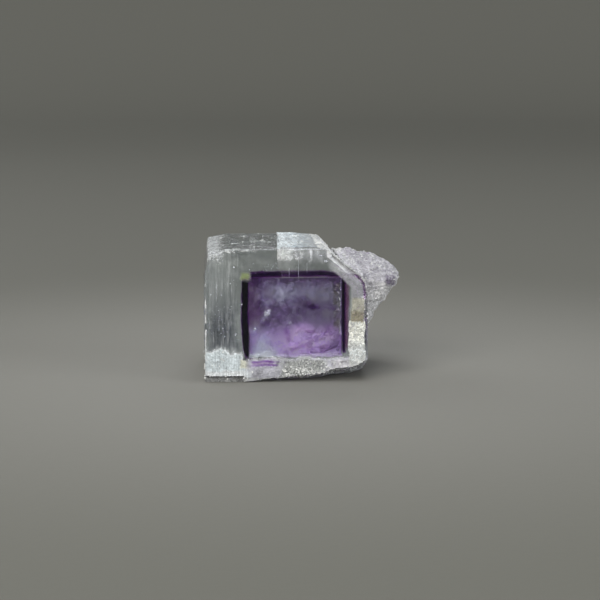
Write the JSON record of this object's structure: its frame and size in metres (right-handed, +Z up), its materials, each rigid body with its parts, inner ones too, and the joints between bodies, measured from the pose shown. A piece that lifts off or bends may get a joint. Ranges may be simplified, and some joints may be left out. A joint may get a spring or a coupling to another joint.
{
  "type": "fluorite crystal",
  "caption": "Clear fluorite cube with a broken, etched shoulder, a rough neighbour crystal grown into it, growth terraces and a broken foot ground flat to stand on.",
  "frame": {"origin": "middle of the bounding box, at the flat cut under the crystal", "axes": "+X to the right along the cube's clear front face, towards the neighbour crystal; +Y back into the crystal; +Z up"},
  "size_m": [0.0142, 0.01, 0.0095],
  "materials": {
    "clear_fluorite": "clear, with frosted and etched patches and a purple growth zone inside"
  },
  "bodies": {
    "root": {"fluorite_crystal": "clear_fluorite"}
  },
  "joints": []
}
